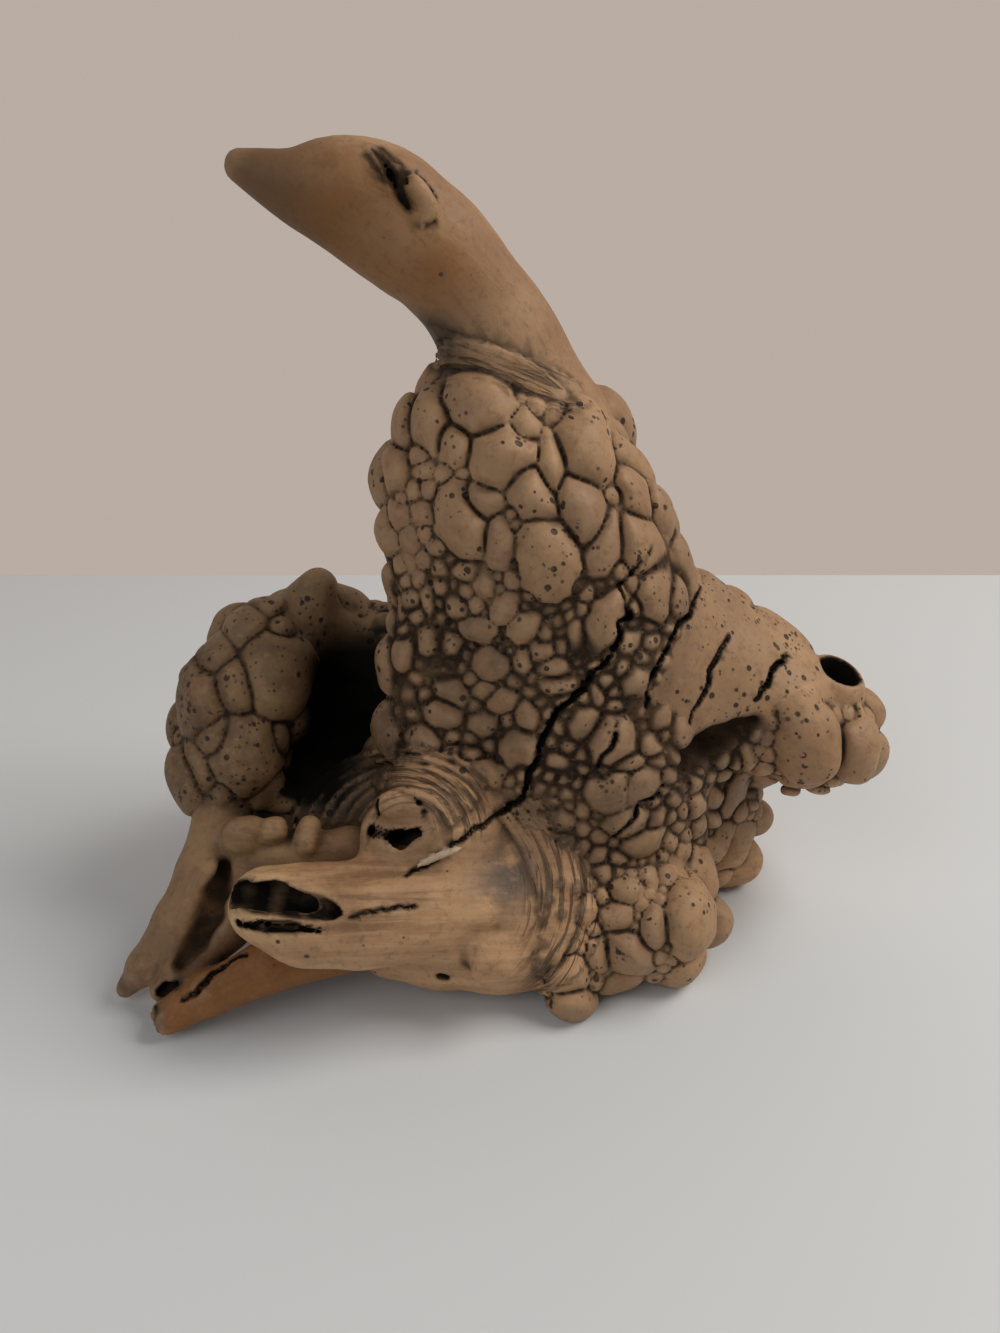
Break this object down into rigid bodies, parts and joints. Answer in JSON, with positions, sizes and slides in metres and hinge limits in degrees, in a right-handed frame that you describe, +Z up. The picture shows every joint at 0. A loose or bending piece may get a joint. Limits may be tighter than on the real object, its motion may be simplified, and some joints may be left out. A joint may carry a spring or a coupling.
{
  "type": "burl wood sculpture",
  "caption": "Natural burl wood sculpture: pebbled cone-shaped trunk drawn out into a smooth bent neck and head, with a stub tail, a hollow side lobe and a split root it stands on.",
  "frame": {"origin": "on the resting plane, under the middle of the piece's bounding box", "axes": "+Z up from the resting plane, +X towards the stub tail and away from the head's beak-like end, +Y to the back, -Y to the side with the split root"},
  "size_m": [0.2714, 0.1628, 0.26],
  "materials": {
    "burl_wood": "bare weathered wood, satin on the bosses, dark in the grooves and hollows"
  },
  "bodies": {
    "root": {"burl_wood": "burl_wood"}
  },
  "joints": []
}
